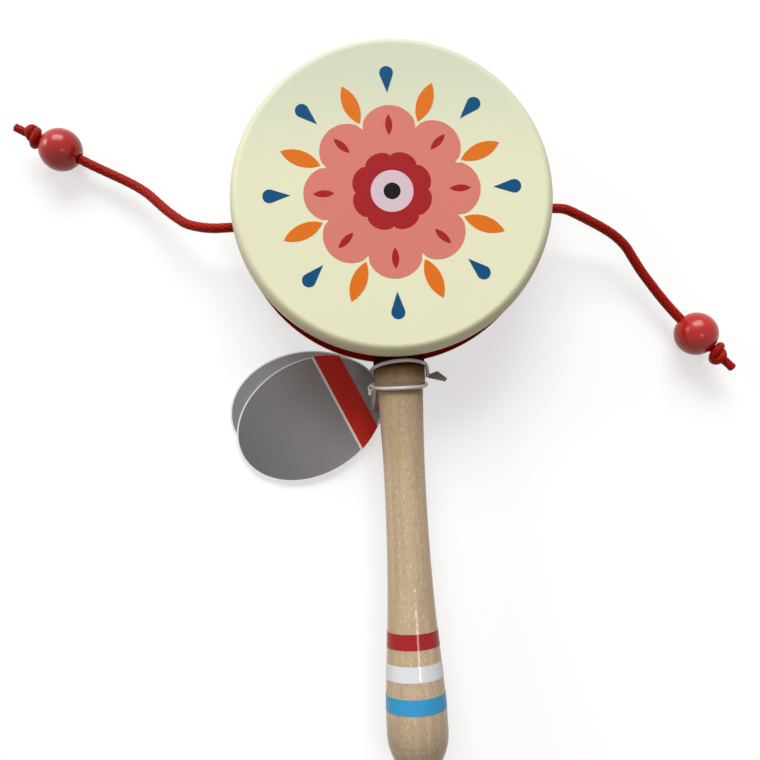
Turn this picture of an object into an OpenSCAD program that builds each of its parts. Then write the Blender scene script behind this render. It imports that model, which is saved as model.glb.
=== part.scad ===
// Pellet drum rattle: a flat drum of two round heads on a red ring, a turned handle, and a
// pellet on a cord at each side that strikes the heads when the handle is twirled.
// It lies on its back head: +Z runs through the drum, the handle points along -Y.

/* [Drum] */
// Outer diameter of the drum
drum_d = 100; // [90:1:120]
// Thickness of the drum over both heads
drum_t = 29; // [26:0.5:36]
// Thickness of one head
head_t = 6; // [4:0.1:7]
// Width of the rounded outer edge of a head
head_round_w = 3.1; // [1:0.1:4]
// Height of the rounded outer edge of a head
head_round_h = 5.2; // [1:0.1:5.4]
// Small bevel on the corners of the ring and the heads where they meet
seam_bevel = 0.4; // [0.2:0.1:0.7]
// Wall of the ring between the heads
ring_wall = 8; // [6:0.5:12]

/* [Handle] */
// Length of the handle outside the drum
handle_l = 127; // [110:1:150]
// Diameter at the drum
neck_d = 16.2; // [14:0.1:17]
// Diameter just below the flare of the neck
throat_d = 14.3; // [12.5:0.1:15.5]
// Diameter at the waist
waist_d = 12.9; // [11:0.1:14]
// Diameter at the swell near the free end
swell_d = 18.9; // [16:0.1:22]
// Distance from the drum to the top of the neck's flare
flare_from = 6.5; // [3:0.1:8]
// Distance from the drum to the foot of the neck's flare
flare_to = 10.5; // [8:0.1:14]
// Distance from the drum to the waist
waist_at = 39; // [30:1:50]
// Length of the rounded end, past the widest place of the swell
end_round_l = 13; // [10:0.5:20]
// Diameter of the tenon that is glued into the ring
tenon_d = 10; // [7:0.5:12]
// How far the tenon stands out inside the ring
tenon_proud = 1; // [0.5:0.5:3]

/* [Painted bands] */
// Width of a painted band
band_w = 4.6; // [3:0.1:6]
// Distance from one band to the next, from edge to edge
band_gap = 4.7; // [3:0.1:7]
// Distance from the free end to the band that is nearest to it
band_from_end = 20.2; // [17:0.5:30]
// Thickness of the paint
paint_t = 0.1; // [0.06:0.01:0.2]

/* [Cords and pellets] */
// Diameter of the pellet cords
cord_d = 3.2; // [2:0.1:3.2]
// Diameter of the holes in the ring for the cords
cord_hole_d = 3.6; // [3.4:0.1:4]
// How far the left cord hole lies on the handle's side of the drum's middle
left_hole_offset = 5; // [2:0.1:6]
// How far the right cord hole lies on the handle's side of the drum's middle
right_hole_offset = 3.4; // [2:0.1:6]
// Diameter of a pellet
pellet_d = 14; // [11:0.5:14]
// Length of a pellet over the flats at its bore
pellet_l = 13.2; // [10.5:0.1:13.4]
// Diameter of a pellet's bore
pellet_bore_d = 3.3; // [3.3:0.1:3.6]
// Diameter of the knots at the cords' ends
knot_d = 6.2; // [5:0.1:8]

/* [Tag] */
// Length of a leaf of the tag
tag_l = 51; // [40:0.1:54]
// Width of a leaf of the tag
tag_w = 38; // [30:0.1:40]
// Thickness of the card
card_t = 0.45; // [0.3:0.05:0.6]
// Diameter of the punched hole
tag_hole_d = 2.6; // [2.2:0.1:3]
// Width of the printed band across the front leaf
tag_band_w = 8.5; // [5:0.5:12]
// Diameter of the tag's string
string_d = 1.2; // [0.8:0.1:1.3]
// Diameter of the stop on the string's end
string_stop_d = 4; // [3:0.1:5]
// Thickness of the stop on the string's end
string_stop_t = 0.9; // [0.6:0.1:1]

/* [Printed design] */
// Diameter of the blossom
blossom_d = 54; // [40:1:58]
// Number of petals, leaves and drops
petals = 8; // [6:1:10]
// Diameter of the dark middle of the blossom
middle_d = 25; // [18:1:28]
// Diameter of the pale disc in the middle
disc_d = 13; // [10:0.5:16]
// Diameter of the black dot
dot_d = 5.2; // [3:0.1:8]
// Length of a leaf between two petals
leaf_l = 13; // [9:0.5:16]
// Width of a leaf between two petals
leaf_w = 4.8; // [3:0.1:7]
// Length of a blue drop
drop_l = 8.4; // [6:0.1:9]
// Width of a blue drop
drop_w = 4.2; // [3:0.1:5]

/* [Hidden] */
$fn = 96;
drum_r = drum_d / 2;
mid_z = drum_t / 2;
neck_r = neck_d / 2;
throat_r = throat_d / 2;
waist_r = waist_d / 2;
swell_r = swell_d / 2;
tenon_r = tenon_d / 2;
cord_r = cord_d / 2;
pellet_r = pellet_d / 2;
string_r = string_d / 2;
// Overrun of every cut past the face that it opens
cut_over = 1;
// Steps of the rounded edge of a head
head_steps = 16;
// Gap that the glue fills, all round a glued joint
glue_gap = 0.05;
// Least height of a loose piece above the table
table_gap = 0.1;

// Handle: each stretch of the profile is a curve between two of the named diameters.
// The shares place a curve's two inner points along its stretch and down its change of radius.
handle_steps = 10;
flare_shares = [[0.45, 0], [0.55, 1]];
taper_shares = [[0.32, 0.48], [0.7, 1]];
swell_shares = [[0.6, 0], [0.73, 1]];

// Cords: each row is a point of the route, as its distance out from the ring, its distance
// along the drum from the hole, and its height from the pellet's middle (0) to the hole (1).
// The last three rows lie on a straight line through the pellet.
left_route = [
    [0, 0, 1], [3, 0, 1], [7, 0, 1], [11.5, 0.8, 0.89], [16.1, 2.5, 0.7], [19.5, 5, 0.5],
    [23, 8, 0.33], [26, 11, 0.18], [29.5, 14.5, 0.04], [33.5, 17.5, -0.07],
    [38, 20.2, -0.13], [42.5, 22.6, -0.16], [47.4, 25.2, -0.16], [52, 27.7, -0.12],
    [58, 30.9, 0], [64, 34.1, 0.12]
];
right_route = [
    [0, 0, 1], [3, 0, 1], [5.7, 0, 1], [10.5, -2.3, 0.91], [15, -4.4, 0.74], [19, -6.3, 0.56],
    [23, -8.7, 0.39], [26.6, -11.9, 0.22], [29.3, -15.9, 0.07], [31.9, -20, -0.05],
    [34.9, -24.3, -0.13], [37.8, -28.5, -0.16], [40.8, -32.6, -0.16], [44, -36.7, -0.12],
    [48.4, -41.9, 0], [52.8, -47.1, 0.12]
];
// The rows where the cord starts to swing, and where it folds over the drum's edge
swing_row = 1;
fold_row = 5;
cord_sides = 8;
knot_l = 5.4;
knot_tail_l = 4;
knot_round_share = 0.32;
pellet_z = pellet_r + table_gap;

// Tag: two leaves on one string, fanned a little, and lying on the table at their far end
tag_turns = [5, 26.8];
tag_middle_shares = [[-0.4294, 0.0237], [-0.4127, -0.0605]];
tag_hole_from_axis = 8.6;
tag_hole_from_drum = 14.3;
tag_tilt = 1.6;
tag_steps = 72;
leaf_gap = 0.1;
// The band crosses the front leaf at this share of its half length
tag_band_share = 0.384;
tag_band_turn = -1.2;

// String: it comes from the lock in steps from its first turn, winds round the neck, and runs
// down to the tag in steps from the hole. A row of its turns is an angle round the handle,
// from the right side, and the distance from the drum there.
string_turns = [
    [20, 2.3], [40, 1.7], [65, 1.3], [90, 1.3], [115, 1.6], [140, 2.2], [165, 2.9],
    [195, 3.6], [230, 4.4], [270, 5.4], [310, 6.6], [345, 7.7], [375, 8.7], [400, 9.3],
    [425, 9.6], [450, 9.7], [475, 9.6], [500, 9.3], [520, 8.9], [540, 8.7]
];
string_step = 13;
string_run = [
    [0.2, 3.9, 9], [0.1, 2.4, 6.4], [0, 1, 4.2], [0, 0.2, 2.4], [0, 0, 1.2], [0, 0, 0]
];
string_sides = 6;
string_lead = [[0.62, -3.4, -3.5], [0.58, -2.2, -2.4], [0.4, -1, -1.2]];
string_knot_d = 3;
lock_l = 6.2;
lock_w = 3.2;
lock_t = 1.2;
lock_shares = [[0, -0.15], [0.9, -0.6], [1, -0.31], [0.52, 0.47], [0, 0.15]];

// Printed design, on a scalloped outline whose notches reach in by a share of its radius
notch_share = 0.22;
scallop_power = 0.6;
middle_notch_share = 0.12;
print_steps = 144;
seed_l = 6.6;
seed_w = 2.2;
seed_at_share = 0.77;
leaf_at_share = 0.86;
drop_gap = 4;

// Vectors and curves

function unit(v) = v / norm(v);

function bezier(a, b, c, d, t) =
    a * pow(1 - t, 3) + 3 * b * t * pow(1 - t, 2) + 3 * c * t * t * (1 - t) + d * pow(t, 3);

// A curve from one point of the profile to the next, whose inner points lie at shares of both
function stretch(from, to, shares) = [
    for (i = [1 : handle_steps]) let (
        span = to - from,
        b = from + [span[0] * shares[0][0], span[1] * shares[0][1]],
        c = from + [span[0] * shares[1][0], span[1] * shares[1][1]]
    ) bezier(from, b, c, to, i / handle_steps)
];

// Handle profile: distance from the drum and radius
widest_at = handle_l - end_round_l;
handle_profile = concat(
    [[0, neck_r], [flare_from, neck_r]],
    stretch([flare_from, neck_r], [flare_to, throat_r], flare_shares),
    stretch([flare_to, throat_r], [waist_at, waist_r], taper_shares),
    stretch([waist_at, waist_r], [widest_at, swell_r], swell_shares),
    [for (i = [1 : handle_steps]) let (a = 90 * i / handle_steps)
        [widest_at + end_round_l * sin(a), swell_r * cos(a)]]
);

function handle_r_at(s) = lookup(s, handle_profile);

// Sweeping a round section along a route

function tangent(route, i) =
    unit(route[min(i + 1, len(route) - 1)] - route[max(i - 1, 0)]);

function ring_at(route, i, r, sides, across) = let (
    t = tangent(route, i),
    u = unit(cross(across, t)),
    v = cross(t, u)
) [for (k = [0 : sides - 1]) let (a = 360 * (k + 0.5) / sides)
    route[i] + r * (u * cos(a) + v * sin(a))];

// A round tube along the rows of a route from one row to another; across is any direction
// that the route never follows
module tube(route, r, sides, from, to, across) {
    rings = to - from + 1;
    points = [for (i = [from : to]) each ring_at(route, i, r, sides, across)];
    start = [for (k = [1 : sides - 2]) [0, k, k + 1]];
    end = [for (k = [1 : sides - 2]) let (n = (rings - 1) * sides) [n, n + k + 1, n + k]];
    walls = [for (i = [0 : rings - 2], k = [0 : sides - 1]) let (
        a = i * sides + k,
        b = i * sides + (k + 1) % sides
    ) each [[a, b + sides, b], [a, a + sides, b + sides]]];
    polyhedron(points = points, faces = concat(start, end, walls));
}

// Turns a child's +Z to a direction and moves it to a point
module aimed(at, direction) {
    d = unit(direction);
    translate(at)
        rotate([0, acos(d[2]), atan2(d[1], d[0])])
            children();
}

// Drum

module drum_ring() {
    low = head_t;
    high = drum_t - head_t;
    inner = drum_r - ring_wall;
    color("firebrick")
    difference() {
        rotate_extrude()
            polygon([
                [inner, low], [drum_r - seam_bevel, low], [drum_r, low + seam_bevel],
                [drum_r, high - seam_bevel], [drum_r - seam_bevel, high], [inner, high]
            ]);
        // socket for the handle's tenon
        translate([0, 0, mid_z])
            rotate([90, 0, 0])
                cylinder(r = tenon_r + glue_gap, h = drum_r + cut_over);
        // one hole through each side for the cords
        for (side = [-1, 1])
            translate([0, -hole_offset(side), mid_z])
                rotate([0, side * 90, 0])
                    cylinder(d = cord_hole_d, h = drum_r + cut_over);
    }
}

// A head whose outer edge is rounded at the bottom, as a quarter of an ellipse
module head() {
    edge = [for (i = [0 : head_steps]) let (a = 90 * i / head_steps) [
        drum_r - head_round_w * (1 - sin(a)),
        head_round_h * (1 - cos(a))
    ]];
    rotate_extrude()
        polygon(concat(
            [[0, head_t], [0, 0]],
            edge,
            [[drum_r, head_t - seam_bevel], [drum_r - seam_bevel, head_t]]
        ));
}

module back_head() {
    color("beige") head();
}

module front_head() {
    color("beige")
    translate([0, 0, drum_t])
        mirror([0, 0, 1])
            head();
}

// Handle

module along_handle() {
    translate([0, -drum_r, mid_z])
        rotate([90, 0, 0])
            children();
}

module handle() {
    tenon_from = ring_wall + tenon_proud;
    color("burlywood") {
        difference() {
            along_handle()
                rotate_extrude()
                    polygon(concat(
                        [[0, -neck_r], [neck_r, -neck_r]],
                        [for (p = handle_profile) [p[1], p[0]]]
                    ));
            // the neck is hollowed to fit the round of the ring
            translate([0, 0, -cut_over])
                cylinder(r = drum_r + glue_gap, h = drum_t + 2 * cut_over);
        }
        along_handle()
            translate([0, 0, -tenon_from])
                cylinder(r = tenon_r, h = tenon_from + flare_from);
    }
}

// A ring of paint on the handle, between two distances from the drum
module band(from, to) {
    inside = concat(
        [[from, handle_r_at(from)]],
        [for (p = handle_profile) if (p[0] > from && p[0] < to) p],
        [[to, handle_r_at(to)]]
    );
    outside = [for (i = [len(inside) - 1 : -1 : 0]) inside[i] + [0, paint_t]];
    along_handle()
        rotate_extrude()
            polygon([for (p = concat(inside, outside)) [p[1], p[0]]]);
}

// Bands are counted from the free end
module painted_band(number) {
    to = handle_l - band_from_end - number * (band_w + band_gap);
    band(to - band_w, to);
}

module band_blue() {
    color("steelblue") painted_band(0);
}

module band_white() {
    color("lavender") painted_band(1);
}

module band_red() {
    color("firebrick") painted_band(2);
}

// Printed design on the front head

module printed() {
    translate([0, 0, drum_t])
        linear_extrude(paint_t)
            children();
}

// A round outline with one scallop for each petal
module scalloped(r, notch, turn = 0) {
    polygon([for (i = [0 : print_steps - 1]) let (
        a = 360 * i / print_steps,
        lobe = pow(abs(cos(petals * (a - turn) / 2)), scallop_power)
    ) r * (1 - notch + notch * lobe) * [cos(a), sin(a)]]);
}

// A pointed leaf along +X, from two arcs
module lens(l, w) {
    r = (l * l + w * w) / (4 * w);
    intersection_for (side = [-1, 1])
        translate([0, side * (r - w / 2)])
            circle(r);
}

// A drop along +X, with its point towards the middle
module drop(l, w) {
    r = w / 2;
    from_point = l - r;
    across = asin(r / from_point);
    translate([from_point, 0])
        circle(r);
    polygon([
        [0, 0],
        [from_point - r * sin(across), -r * cos(across)],
        [from_point - r * sin(across), r * cos(across)]
    ]);
}

// A copy for each petal, turned round the middle, starting at a share of one petal's angle
module around_petals(start_share, distance) {
    for (i = [0 : petals - 1])
        rotate(360 * (i + start_share) / petals)
            translate([distance, 0])
                children();
}

module seeds() {
    around_petals(0, blossom_d / 2 * seed_at_share)
        lens(seed_l, seed_w);
}

module middle_outline() {
    scalloped(middle_d / 2, middle_notch_share, 180 / petals);
}

module print_petals() {
    color("salmon")
    printed()
        difference() {
            scalloped(blossom_d / 2, notch_share);
            middle_outline();
            seeds();
        }
}

module print_middle() {
    color("brown")
    printed() {
        difference() {
            middle_outline();
            circle(d = disc_d);
        }
        seeds();
    }
}

module print_disc() {
    color("thistle")
    printed()
        difference() {
            circle(d = disc_d);
            circle(d = dot_d);
        }
}

module print_dot() {
    color("black")
    printed()
        circle(d = dot_d);
}

module print_leaves() {
    color("darkorange")
    printed()
        around_petals(0.5, blossom_d / 2 * leaf_at_share + leaf_l / 2)
            lens(leaf_l, leaf_w);
}

module print_drops() {
    color("teal")
    printed()
        around_petals(0, blossom_d / 2 + drop_gap)
            drop(drop_l, drop_w);
}

// Cords and pellets, one on each side: -1 is the left side and 1 the right

function hole_offset(side) = side < 0 ? left_hole_offset : right_hole_offset;

function route_of(side) = [for (p = side < 0 ? left_route : right_route) [
    side * (drum_r + p[0]),
    p[1] - hole_offset(side),
    pellet_z + p[2] * (mid_z - pellet_z)
]];

function pellet_row(side) = len(route_of(side)) - 2;

function pellet_at(side) = route_of(side)[pellet_row(side)];

function pellet_direction(side) = unit(route_of(side)[pellet_row(side) + 1] - pellet_at(side));

// A knot drawn into a tight round bundle, standing on z = 0 with its end cut off above it
module knot() {
    bulge_r = knot_d / 2;
    round_r = knot_l * knot_round_share;
    rotate_extrude() {
        square([bulge_r - round_r, knot_l]);
        intersection() {
            square([bulge_r, knot_l]);
            for (z = [round_r, knot_l - round_r])
                translate([bulge_r - round_r, z])
                    circle(round_r);
        }
    }
    translate([0, 0, knot_l])
        cylinder(r = cord_r, h = knot_tail_l);
}

// The knot inside the ring, and the cord through the ring's hole to where it swings
module stop_knot(side) {
    across = hole_offset(side);
    inside_at = sqrt(pow(drum_r - ring_wall, 2) - pow(across + knot_d / 2, 2));
    swing_at = drum_r + (side < 0 ? left_route : right_route)[swing_row][0];
    color("firebrick") {
        aimed([side * inside_at, -across, mid_z], [-side, 0, 0])
            knot();
        aimed([side * inside_at, -across, mid_z], [side, 0, 0])
            cylinder(r = cord_r, h = swing_at - inside_at);
    }
}

module cord(side, from, to) {
    color("red")
        tube(route_of(side), cord_r, cord_sides, from, to, [0, 0, 1]);
}

module pellet(side) {
    color("firebrick")
    aimed(pellet_at(side), pellet_direction(side))
        difference() {
            intersection() {
                sphere(pellet_r);
                cube([pellet_d, pellet_d, pellet_l], center = true);
            }
            cylinder(d = pellet_bore_d, h = pellet_l + 2 * cut_over, center = true);
        }
}

module end_knot(side) {
    color("firebrick")
    aimed(route_of(side)[pellet_row(side) + 1], pellet_direction(side))
        knot();
}

module left_stop_knot() { stop_knot(-1); }
module left_cord_link() { cord(-1, swing_row, fold_row); }
module left_cord_lead() { cord(-1, fold_row, pellet_row(-1) + 1); }
module left_pellet() { pellet(-1); }
module left_end_knot() { end_knot(-1); }
module right_stop_knot() { stop_knot(1); }
module right_cord_link() { cord(1, swing_row, fold_row); }
module right_cord_lead() { cord(1, fold_row, pellet_row(1) + 1); }
module right_pellet() { pellet(1); }
module right_end_knot() { end_knot(1); }

// Tag

tag_hole_at = [-tag_hole_from_axis, -(drum_r + tag_hole_from_drum)];
back_leaf_z = table_gap + tag_l * sin(tag_tilt);
front_leaf_z = back_leaf_z + card_t + leaf_gap;

// The plane of the tag, with the hole at its origin
module on_tag_plane() {
    translate(tag_hole_at)
        rotate([0, -tag_tilt, 0])
            children();
}

module leaf_outline(number) {
    shares = tag_middle_shares[number];
    translate([tag_l * shares[0], tag_w * shares[1]])
        rotate(tag_turns[number])
            polygon([for (i = [0 : tag_steps - 1]) let (a = 360 * i / tag_steps)
                [tag_l / 2 * cos(a), tag_w / 2 * sin(a)]]);
}

module leaf(number, z) {
    on_tag_plane()
        translate([0, 0, z])
            linear_extrude(card_t)
                difference() {
                    leaf_outline(number);
                    circle(d = tag_hole_d);
                }
}

module tag_back_leaf() {
    color("lightgray") leaf(0, back_leaf_z);
}

module tag_front_leaf() {
    color("darkgray") leaf(1, front_leaf_z);
}

module tag_band() {
    shares = tag_middle_shares[1];
    color("firebrick")
    on_tag_plane()
        translate([0, 0, front_leaf_z + card_t])
            linear_extrude(paint_t)
                intersection() {
                    leaf_outline(1);
                    translate([tag_l * shares[0], tag_w * shares[1]])
                        rotate(tag_turns[1] + tag_band_turn)
                            translate([tag_l / 2 * tag_band_share, -tag_w])
                                square([tag_band_w, 2 * tag_w]);
                }
}

// String, its knot at the neck and its lock

function string_path_r(s) = handle_r_at(s) + string_r + table_gap;

string_turned = [for (a = [string_turns[0][0] : string_step : 540]) let (
    s = lookup(a, string_turns)
) [string_path_r(s) * cos(a), -drum_r - s, mid_z + string_path_r(s) * sin(a)]];
string_end_z = table_gap + string_stop_t;
string_route = concat(
    [for (p = string_lead) string_turned[0] + p],
    string_turned,
    [for (p = string_run) [tag_hole_at[0] + p[0], tag_hole_at[1] + p[1], string_end_z + p[2]]]
);

module tag_string() {
    last = len(string_route) - 1;
    color("gainsboro") {
        tube(string_route, string_r, string_sides, 0, last, [0, 1, 0]);
        translate(string_route[last] - [0, 0, string_stop_t])
            cylinder(d = string_stop_d, h = string_stop_t);
    }
}

module string_knot() {
    tied_at = string_turned[len(string_turned) - 1];
    color("gainsboro")
    translate(tied_at - [string_knot_d / 2 - string_r, 0, 0])
        sphere(d = string_knot_d);
}

module tag_lock() {
    color("dimgray")
    translate(string_route[0] - [0, 0, lock_t / 2])
        linear_extrude(lock_t)
            polygon([for (p = lock_shares) [lock_l * p[0], lock_w * p[1]]]);
}

drum_ring();
front_head();
back_head();
handle();
band_red();
band_white();
band_blue();
print_petals();
print_middle();
print_disc();
print_dot();
print_leaves();
print_drops();
left_stop_knot();
left_cord_link();
left_cord_lead();
left_pellet();
left_end_knot();
right_stop_knot();
right_cord_link();
right_cord_lead();
right_pellet();
right_end_knot();
tag_back_leaf();
tag_front_leaf();
tag_band();
tag_string();
string_knot();
tag_lock();
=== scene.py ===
# %% [markdown]
# # A pellet drum rattle
#
# The toy is a flat wooden drum on a turned handle. A bead hangs on a cord at each side, and when
# the handle is twirled the cords swing round and the beads strike the two heads. The solid parts
# come from CAD and are loaded here as a fixed frame. This file dresses them: it gives every part
# its finish, and it builds the pieces that CAD keeps plain, which are the braided cords, their
# knots, the beads, the string and the small parts of the tag.

# %% Load the frame
import math

import bmesh
import bpy
from mathutils import Matrix, Vector
from mathutils.geometry import interpolate_bezier


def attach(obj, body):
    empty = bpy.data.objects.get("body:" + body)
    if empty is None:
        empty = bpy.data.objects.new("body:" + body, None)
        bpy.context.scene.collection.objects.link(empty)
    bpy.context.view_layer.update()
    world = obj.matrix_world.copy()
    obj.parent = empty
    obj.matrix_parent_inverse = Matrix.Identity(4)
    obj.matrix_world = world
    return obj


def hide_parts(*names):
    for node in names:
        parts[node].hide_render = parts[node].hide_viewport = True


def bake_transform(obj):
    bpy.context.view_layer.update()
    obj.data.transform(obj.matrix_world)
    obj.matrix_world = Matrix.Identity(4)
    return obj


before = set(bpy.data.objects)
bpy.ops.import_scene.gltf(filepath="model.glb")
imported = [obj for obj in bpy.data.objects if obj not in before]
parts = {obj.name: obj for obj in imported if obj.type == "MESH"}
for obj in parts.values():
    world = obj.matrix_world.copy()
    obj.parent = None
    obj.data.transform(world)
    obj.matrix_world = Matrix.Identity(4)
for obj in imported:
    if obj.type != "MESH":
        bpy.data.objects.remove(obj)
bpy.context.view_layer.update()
MM = 0.001

# %% [markdown]
# ## The camera
#
# The drum lies on its back and the camera looks down at it from 270 mm, a little from the
# handle's side. That is why the lower rim shows and the top rim doesn't. The position and the
# turn were fitted to the outlines of the drum and the handle. The near distance matters as much
# as the angle, because it makes the handle's end look thicker than it is.

# %% Camera
camera_turn = Matrix((
    (0.99870365, 0.04748256, -0.01834178),
    (-0.04886057, 0.99527486, -0.08390827),
    (0.01427093, 0.08469568, 0.99630466),
))
camera_data = bpy.data.cameras.new("camera")
camera_data.sensor_width = 36
camera_data.lens = 38.263
camera = bpy.data.objects.new("camera", camera_data)
camera.matrix_world = (
    Matrix.Translation(Vector((-10.908, -77.621, 268.747)) * MM) @ camera_turn.to_4x4()
)
bpy.context.scene.collection.objects.link(camera)
bpy.context.scene.camera = camera
print("camera height in mm:", round(camera.matrix_world.translation.z / MM, 1))

# %% [markdown]
# ## Where the cords run
#
# A cord starts as a list of points along its middle. Each row says how far the point lies out
# from the ring, how far along the drum from the hole, and how high it is, from the bead's middle
# at 0 to the hole at 1. The cord comes straight out of its hole, sinks under its own weight and
# lies almost on the table. A smooth curve through the points is cut into short equal steps, so
# that every ring of the tube later has the same distance to the next.

# %% Routes
drum_radius = 50
mid_height = 14.5  # of the cord holes and of the handle's axis
bead_height = 7.1
hole_offset = {-1: -5, 1: -3.4}  # along Y, for the left and the right hole
left_rows = [
    (0, 0, 1), (3, 0, 1), (7, 0, 1), (11.5, 0.8, 0.89), (16.1, 2.5, 0.7), (19.5, 5, 0.5),
    (23, 8, 0.33), (26, 11, 0.18), (29.5, 14.5, 0.04), (33.5, 17.5, -0.07),
    (38, 20.2, -0.13), (42.5, 22.6, -0.16), (47.4, 25.2, -0.16), (52, 27.7, -0.12),
    (58, 30.9, 0), (64, 34.1, 0.12),
]
right_rows = [
    (0, 0, 1), (3, 0, 1), (6.4, -0.45, 0.98), (10.5, -2.3, 0.91), (15, -4.4, 0.74),
    (19, -6.3, 0.56), (23, -8.7, 0.39), (26.6, -11.9, 0.22), (29.3, -15.9, 0.07),
    (31.9, -20, -0.05), (34.9, -24.3, -0.13), (37.8, -28.5, -0.16), (40.8, -32.6, -0.16),
    (44, -36.7, -0.12), (48.4, -41.9, 0), (52.8, -47.1, 0.12),
]


def route_points(side, rows):
    return [
        Vector((
            side * (drum_radius + out),
            along + hole_offset[side],
            bead_height + up * (mid_height - bead_height),
        )) * MM
        for out, along, up in rows
    ]


def even_steps(points, step, samples=24):
    """A smooth curve through the points, as new points that lie a step apart. Each stretch is
    one Bezier curve, whose handles are a sixth of the way between the neighbouring points."""
    fine = [points[0]]
    for i in range(len(points) - 1):
        before, after = points[max(i - 1, 0)], points[min(i + 2, len(points) - 1)]
        a, b = points[i], points[i + 1]
        near, far = a + (b - before) / 6, b - (after - a) / 6
        fine += interpolate_bezier(a, near, far, b, samples)[1:]
    lengths = [0]
    for a, b in zip(fine, fine[1:]):
        lengths.append(lengths[-1] + (b - a).length)
    count = max(2, round(lengths[-1] / step))
    even, i = [], 0
    for k in range(count + 1):
        wanted = lengths[-1] * k / count
        while i < len(fine) - 2 and lengths[i + 1] < wanted:
            i += 1
        share = (wanted - lengths[i]) / max(lengths[i + 1] - lengths[i], 1e-12)
        even.append(fine[i].lerp(fine[i + 1], min(share, 1)))
    return even


def path_length(points):
    return sum((b - a).length for a, b in zip(points, points[1:]))


cord_routes = {"left": route_points(-1, left_rows), "right": route_points(1, right_rows)}
for side_name, points in cord_routes.items():
    print(side_name, "cord in mm:", round(path_length(even_steps(points, MM / 4)) / MM, 1))

# %% [markdown]
# ## A tube that follows a route
#
# The tube is made as a rope maker would draw it: one ring of edges is extruded from each point
# of the route to the next. The frame at each point is the last one, turned by the least angle
# that brings it into line, so the tube doesn't twist. Two numbers are kept on each vertex, its
# place round the cord and its distance along it. They become the UV map, and they also drive the
# relief of the braid, so the ridges in the mesh and the pattern in the material agree.

# %% Tube maker
def frames_along(points):
    """One matrix for each point, whose Z axis follows the route."""
    first = (points[1] - points[0]).normalized()
    turn = first.to_track_quat("Z", "Y")
    frames, last = [], first
    for i, point in enumerate(points):
        ahead = (points[min(i + 1, len(points) - 1)] - points[max(i - 1, 0)]).normalized()
        turn = last.rotation_difference(ahead) @ turn
        last = ahead
        frames.append(Matrix.Translation(point) @ turn.to_matrix().to_4x4())
    return frames


def mesh_object(name, bm):
    """Makes an object at the origin from a bmesh, smooth shaded."""
    mesh = bpy.data.meshes.new(name)
    for face in bm.faces:
        face.smooth = True
    bm.to_mesh(mesh)
    bm.free()
    piece = bpy.data.objects.new(name, mesh)
    bpy.context.scene.collection.objects.link(piece)
    return piece


def tube(name, points, radius, sides, relief=None, start_length=0, end_shares=(1, 1)):
    """relief takes the place round the tube and the distance along it, and gives the share of
    the radius there. end_shares narrow the first and the last ring."""
    bm = bmesh.new()
    around = bm.verts.layers.float.new("around")
    along = bm.verts.layers.float.new("along")
    ring_of = bm.verts.layers.int.new("ring")
    frames = frames_along(points)
    bmesh.ops.create_circle(bm, segments=sides, radius=radius)
    for vert in bm.verts:
        vert[around] = (math.atan2(vert.co.y, vert.co.x) / math.tau) % 1
        vert[along] = start_length
    bmesh.ops.transform(bm, matrix=frames[0], verts=bm.verts[:])
    edges, length = bm.edges[:], start_length
    for k in range(1, len(points)):
        length += (points[k] - points[k - 1]).length
        made = bmesh.ops.extrude_edge_only(bm, edges=edges)["geom"]
        ring = [g for g in made if isinstance(g, bmesh.types.BMVert)]
        edges = [g for g in made if isinstance(g, bmesh.types.BMEdge)]
        bmesh.ops.transform(bm, matrix=frames[k] @ frames[k - 1].inverted(), verts=ring)
        for vert in ring:
            vert[along], vert[ring_of] = length, k
    for vert in bm.verts:
        k = vert[ring_of]
        share = relief(vert[around], vert[along]) if relief else 1
        share *= end_shares[0] if k == 0 else end_shares[1] if k == len(points) - 1 else 1
        vert.co = points[k] + (vert.co - points[k]) * share
    bmesh.ops.holes_fill(bm, edges=[e for e in bm.edges if e.is_boundary], sides=sides)
    bmesh.ops.recalc_face_normals(bm, faces=bm.faces[:])
    uv = bm.loops.layers.uv.new("UVMap")
    for face in bm.faces:
        turns = [loop.vert[around] for loop in face.loops]
        crosses = max(turns) - min(turns) > 0.5 and len(face.verts) == 4
        for loop, turn in zip(face.loops, turns):
            u = turn + 1 if crosses and turn < 0.5 else turn
            loop[uv].uv = (u, loop.vert[along] / radius)
    return mesh_object(name, bm)


# %% [markdown]
# ## The braid
#
# The cord is a tight round braid. Sixteen carriers of red yarn run round it, eight each way, and
# go over and under one another. Where a carrier is on top it shows as a small lozenge. The
# product of two waves that climb the cord in opposite directions has just this lozenge pattern.
# Python uses it for the shape here, and a shader group uses the same waves for the colour.

# %% Braid relief
cord_radius = 1.6 * MM
carriers = 8  # each way round
braid_climb = 0.62  # lozenges that pass on a stretch of one radius
braid_depth = 0.05  # of the valleys between lozenges, as a share of the radius


def braid(turn, length):
    """The share of the radius at a place on the cord, from 1 on a lozenge to less between."""
    climb = braid_climb * length / cord_radius
    wave = math.cos(math.pi * (carriers * turn + climb))
    wave *= math.cos(math.pi * (carriers * turn - climb))
    return 1 - braid_depth * (1 - math.sqrt(abs(wave)))


print("one lozenge in mm:", round(cord_radius / braid_climb / MM, 2))
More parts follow.
